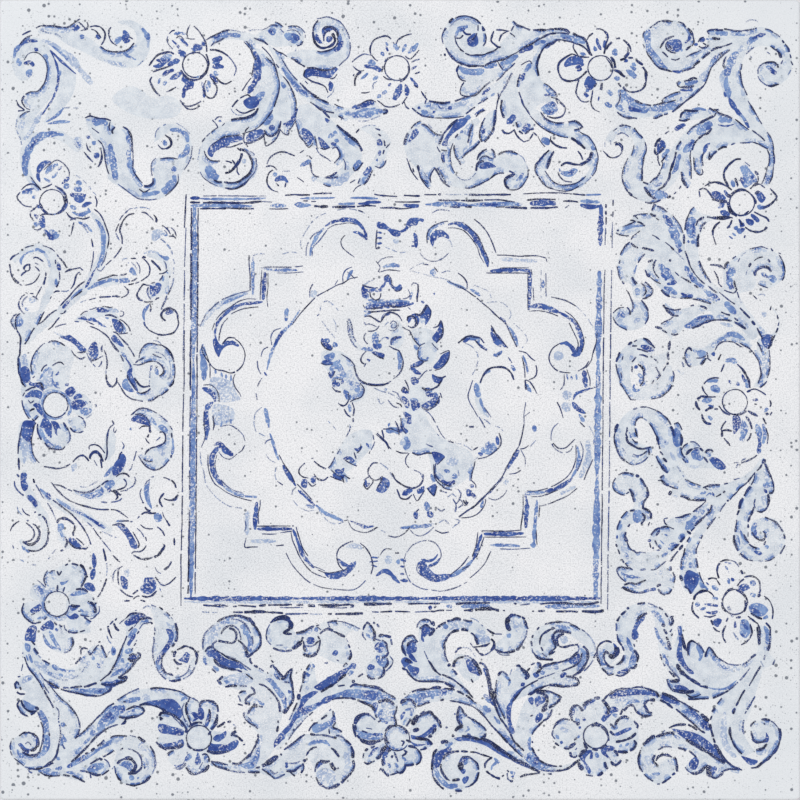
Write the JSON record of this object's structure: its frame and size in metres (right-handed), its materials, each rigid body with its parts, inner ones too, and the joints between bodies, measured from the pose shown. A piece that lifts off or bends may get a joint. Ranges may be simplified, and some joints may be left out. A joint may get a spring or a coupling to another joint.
{
  "type": "decorated porcelain tile",
  "caption": "Square pressed porcelain tile with an aged blue-and-white printed scroll decoration, a soft rolled arris and a ribbed keying back.",
  "frame": {"origin": "middle of the back, on the rib faces that the tile lies on", "axes": "+Z out of the glazed face; +Y towards the top edge of the printed picture, +X towards its right edge"},
  "size_m": [0.45, 0.45, 0.01],
  "materials": {
    "glazed_porcelain": "matt",
    "cobalt_print": "matt"
  },
  "bodies": {
    "root": {"porcelain_tile": "glazed_porcelain"}
  },
  "joints": []
}
